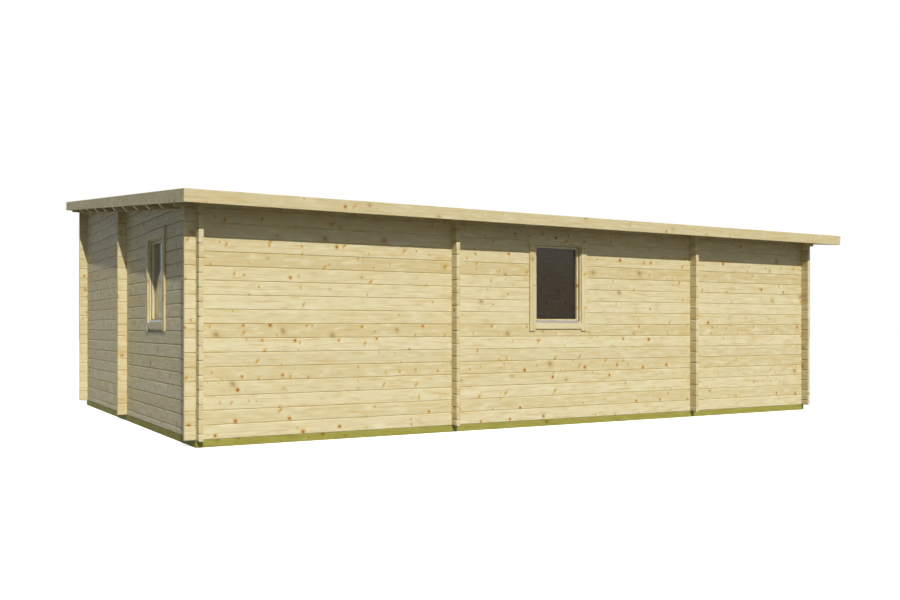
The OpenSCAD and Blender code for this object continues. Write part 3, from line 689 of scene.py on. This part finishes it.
# Mill-finish aluminium: rolled, so its gloss is drawn out in lines along the strip.
aluminium, tree = new_material("mill_finish_aluminium")
lines = add(tree, "VectorMath", add(tree, "TexCoord", out=3), ROLLED_LINE, operation="DIVIDE")
rolled = add(tree, "TexNoise", {"Vector": lines, "Scale": 1.0, "Detail": 2.0})
tone = add(tree, "ValToRGB", rolled, ramp=[(0.2, "#a2a3a4"), (0.8, "#b6b7b7")])
rough = add(tree, "MapRange", rolled, 0.2, 0.8, 0.3, 0.42)
coat = add(tree, "BsdfPrincipled", {"Base Color": tone, "Metallic": 1.0, "Roughness": rough})
add(tree, "OutputMaterial", coat)
dress(aluminium, "rear_window_drip", "left_window_drip", "door_handle")

# %% [markdown]
# ## Rubber and seals
# Panes are bedded in a black rubber gasket, and a soft brown seal lies round the sash, its brown also painting the
# shade in the gap between sash and frame. Both are pressed through a die, so they have an even colour. One flat
# colour would look drawn on, so dust and wear vary it a little.

# %% Rubber and seal
# Extruded EPDM rubber: black and dull, a little greyer where dust lies.
rubber, tree = new_material("extruded_epdm_rubber")
dust = add(tree, "TexNoise", {"Vector": add(tree, "TexCoord", out=3), "Scale": 1 / (25 * MM), "Detail": 2.0})
tone = add(tree, "ValToRGB", dust, ramp=[(0.3, "#17181a"), (0.8, "#2a2b2c")])
coat = add(tree, "BsdfPrincipled", {"Base Color": tone, "Roughness": 0.75, "Specular IOR Level": 0.15})
add(tree, "OutputMaterial", coat)

# Brown thermoplastic seal: soft and matt, a little paler where it has been rubbed. Its dark brown also stands in
# for the shade in the gap between sash and frame.
seal_and_gap_shade, tree = new_material("brown_seal_painting_gap_shade")
rub = add(tree, "TexNoise", {"Vector": add(tree, "TexCoord", out=3), "Scale": 1 / (40 * MM), "Detail": 2.0})
tone = add(tree, "ValToRGB", rub, ramp=[(0.3, "#5c4a30"), (0.8, "#6f5a3e")])
coat = add(tree, "BsdfPrincipled", {"Base Color": tone, "Roughness": 0.7, "Specular IOR Level": 0.2})
add(tree, "OutputMaterial", coat)
print(rubber.name, "and", seal_and_gap_shade.name)

# %% [markdown]
# ## Strips round the panes
# The spacer lies between the two panes, the gasket holds them from both sides, and a brown seal closes the joint
# between sash and frame; its brown also paints the shade in that gap. All three are thin bars round a pane, so one
# function gives the four boxes of such a border, and the board surface from above makes them. The sash's seal has no
# lower bar, as the drip strip closes that joint.

# %% Spacers, gaskets and seals
SPACER_W = 6 * MM
GASKET = 2 * MM
SEAL_W, SEAL_T = 5 * MM, 3 * MM
UPPER_BARS = [0, 1, 3]


def border(low, high, width, near, far):
    """Four bars of that width just inside the edge of an upright pane, from near to far across it."""
    lows, highs = np.tile(low, (4, 1)), np.tile(high, (4, 1))
    lows[:, 1], highs[:, 1] = near, far
    highs[0, 0] = lows[2:, 0] = low[0] + width
    lows[1, 0] = highs[2:, 0] = high[0] - width
    highs[2, 2] = low[2] + width
    lows[3, 2] = high[2] - width
    return lows, highs


def strip_piece(name, low, high, ease, turn, material, slot):
    """Eased bars in a turned frame, as one piece without grain."""
    points, faces, _, _ = eased_boards(low, high, ease)
    put_piece(name, points @ turn.T, faces, material)


for side, turn in (("rear", np.eye(3)), ("left", QUARTER)):
    low, high = solid_boxes(f"{side}_window_glass", turn)
    order = low[:, 1].argsort()
    low, high = low[order], high[order]
    spacer = border(low[0], high[0], SPACER_W, high[0, 1], low[1, 1])
    strip_piece(f"{side}_window_spacer", *spacer, 0.3 * MM, turn, aluminium, "aluminium")
    gaskets = [border(low[0], high[0], GASKET, low[0, 1] - GASKET, low[0, 1]),
               border(low[1], high[1], GASKET, high[1, 1], high[1, 1] + GASKET)]
    strip_piece(f"{side}_window_gasket", *np.concatenate(gaskets, 1), 0.6 * MM, turn, rubber, "roofing_felt")
    low, high = solid_boxes(f"{side}_window_sash", turn)
    front = low[:, 1].min()
    # The seal's brown paints the shade in the gap between sash and frame.
    low, high = border(low.min(0), high.max(0), SEAL_W, front - SEAL_T, front)
    strip_piece(f"{side}_window_seal_and_gap_shade", low[UPPER_BARS], high[UPPER_BARS], 0.8 * MM, turn, seal_and_gap_shade, "roofing_felt")

# %% [markdown]
# ## The door leaf
# The door is a ledged one: upright planks outside, on a frame of stiles and rails inside. The CAD leaf is one slab, so
# its box is shared out: planks in one half of its thickness, five bars of the frame in the other.

# %% Door planks
STILE = 110 * MM
BOTTOM_RAIL = 176 * MM
MIDDLE_RAIL_UP = 900 * MM

leaf_low, leaf_high = (corner[0] for corner in solid_boxes("door_leaf"))
leaf_middle = (leaf_low[1] + leaf_high[1]) / 2
planks = side_by_side(np.array([leaf_low[0], leaf_middle, leaf_low[2]]), leaf_high, FLOOR_BOARD)
board_piece("door_planks", *planks, 3 * MM, hides=["door_leaf"])
middle_rail = leaf_low[2] + MIDDLE_RAIL_UP
rail_low = np.array([leaf_low[2], middle_rail, leaf_high[2] - STILE])
rail_high = np.array([leaf_low[2] + BOTTOM_RAIL, middle_rail + STILE, leaf_high[2]])
ledge_low, ledge_high = np.tile(leaf_low, (5, 1)), np.tile(leaf_high, (5, 1))
ledge_high[:, 1] = leaf_middle
ledge_high[0, 0] = leaf_low[0] + STILE
ledge_low[1, 0] = leaf_high[0] - STILE
ledge_low[2:, 0], ledge_high[2:, 0] = leaf_low[0] + STILE, leaf_high[0] - STILE
ledge_low[2:, 2], ledge_high[2:, 2] = rail_low, rail_high
board_piece("door_ledges", ledge_low, ledge_high, 2 * MM)

# %% [markdown]
# ## Roofing felt
# Roofing felt is a bitumen sheet with crushed slate pressed into its top. Grains could be drawn as geometry, but from
# a few metres they are only specks, so a Voronoi pattern gives each cell its own grey. Each roll differs a little, and
# the lower edge of a strip is darker, where bitumen has oozed out of the lap.

# %% Felt material
# Mineral-surfaced felt: rough grit, so it is matt. Grains of about 1 mm are drawn at 5 mm so that they show.
SLATE = [(0.0, "#3c3e40"), (0.6, "#515355"), (1.0, "#6b6c6b")]
felt, tree = new_material("mineral_surfaced_bitumen_felt")
spot = add(tree, "TexCoord", out=3)
grit = add(tree, "SeparateColor", add(tree, "TexVoronoi", {"Vector": spot, "Scale": 1 / (5 * MM)}, out=1))
grey = add(tree, "ValToRGB", grit, ramp=SLATE)
stain = add(tree, "TexNoise", {"Vector": spot, "Scale": 1 / (400 * MM), "Detail": 3.0})
stained = add(tree, "MapRange", stain, 0.4, 0.75, 0.0, 0.35)
aged = add(tree, "Mix", stained, grey, linear("#5f605c"), data_type="RGBA")
roll = add(tree, "TexWhiteNoise", add(tree, "Attribute", attribute_name="grain_piece", out=2), noise_dimensions="1D")
darker = add(tree, "MapRange", roll, 0.0, 1.0, 0.0, 0.25)
batch = add(tree, "Mix", darker, aged, linear("#2f3133"), data_type="RGBA")
rise = add(tree, "SeparateXYZ", add(tree, "Attribute", attribute_name="grain_place", out=1)).node.outputs[1]
oozed = add(tree, "MapRange", rise, 25 * MM, 10 * MM, 0.0, 0.7)
glued = add(tree, "Mix", oozed, batch, linear("#1f2022"), data_type="RGBA")
bump = add(tree, "Bump", {"Height": grit, "Strength": 0.5, "Distance": 0.6 * MM})
coat = add(tree, "BsdfPrincipled", {"Base Color": glued, "Roughness": 0.92, "Normal": bump})
add(tree, "OutputMaterial", coat)
print(felt.name, "in", len(SLATE), "greys")

# %% [markdown]
# Felt comes in rolls one metre wide. The strips lie along the eaves, from the bottom up, and each laps over the one
# below, so water runs over the joint. A strip is a thin section, raised where it lies on its neighbour, carried
# along the roof with slight waves.

# %% Felt strips
FELT_T, FELT_W, FELT_LAP, FELT_RAMP = 2 * MM, 1.0, 100 * MM, 40 * MM
FELT_WAVE = 0.4 * MM
FELT_STATIONS, FELT_STEPS = 61, 26


def felt_strips(low, high):
    """Strips in the slope's frame: at distance d up a strip the underside is lifted by one thickness on the lap, then
    ramps down to the boards; the top is one thickness higher, with waves of a sine along and up the strip.
    Gives points, faces, the place of each point on its strip and the number of the strip."""
    count = math.ceil((high[1] - low[1] - FELT_LAP) / (FELT_W - FELT_LAP))
    start = low[1] + np.arange(count)[:, None, None] * (FELT_W - FELT_LAP)
    width = np.minimum(start + FELT_W, high[1]) - start
    x = np.linspace(low[0], high[0], FELT_STATIONS)[None, :, None]
    d = np.linspace(0, 1, FELT_STEPS)[None, None, :] * width
    ramp = np.clip((d - FELT_LAP) / FELT_RAMP, 0, 1)
    lift = FELT_T * (1 - ramp * ramp * (3 - 2 * ramp)) * (np.arange(count) > 0)[:, None, None]
    phase = rng.uniform(0, 6.28, (count, 1, 1))  # one full turn
    wave = FELT_WAVE * (1 + np.sin(5.1 * x + phase) * np.sin(6.3 * d + 2 * phase))
    y = np.broadcast_to(start + d, wave.shape)
    under = np.stack([np.broadcast_to(x, y.shape), y, np.broadcast_to(low[2] + lift, y.shape)], -1)
    over = under + np.stack([0 * wave, 0 * wave, FELT_T + wave], -1)
    points = np.concatenate([under, over[:, :, ::-1]], 2)
    place = points - np.concatenate([low[:1], [0.0], low[2:]]) - start[..., None] * [0, 1, 0]
    loop = 2 * FELT_STEPS
    s, j = np.meshgrid(np.arange(FELT_STATIONS - 1), np.arange(loop), indexing="ij")
    step = (j + 1) % loop
    skin = np.stack([s * loop + j, s * loop + step, (s + 1) * loop + step, (s + 1) * loop + j], -1).reshape(-1, 4)
    j = np.arange(FELT_STEPS - 1)
    end = np.stack([j, loop - 1 - j, loop - 2 - j, j + 1], 1)
    last = end[:, ::-1] + (FELT_STATIONS - 1) * loop
    strip = np.concatenate([skin, end, last])
    first = np.arange(count)[:, None, None] * FELT_STATIONS * loop
    faces = (first + strip).reshape(-1, 4).tolist()
    number = np.repeat(np.arange(count) + 0.5, FELT_STATIONS * loop)
    return points.reshape(-1, 3), faces, place.reshape(-1, 3), number


felt_low, felt_high = solid_boxes("roof_felt", SLOPE)
points, faces, place, strip = felt_strips(felt_low[0], felt_high[0])
put_piece("felt_strips", points @ SLOPE.T, faces, felt, ["roof_felt"], place, strip)
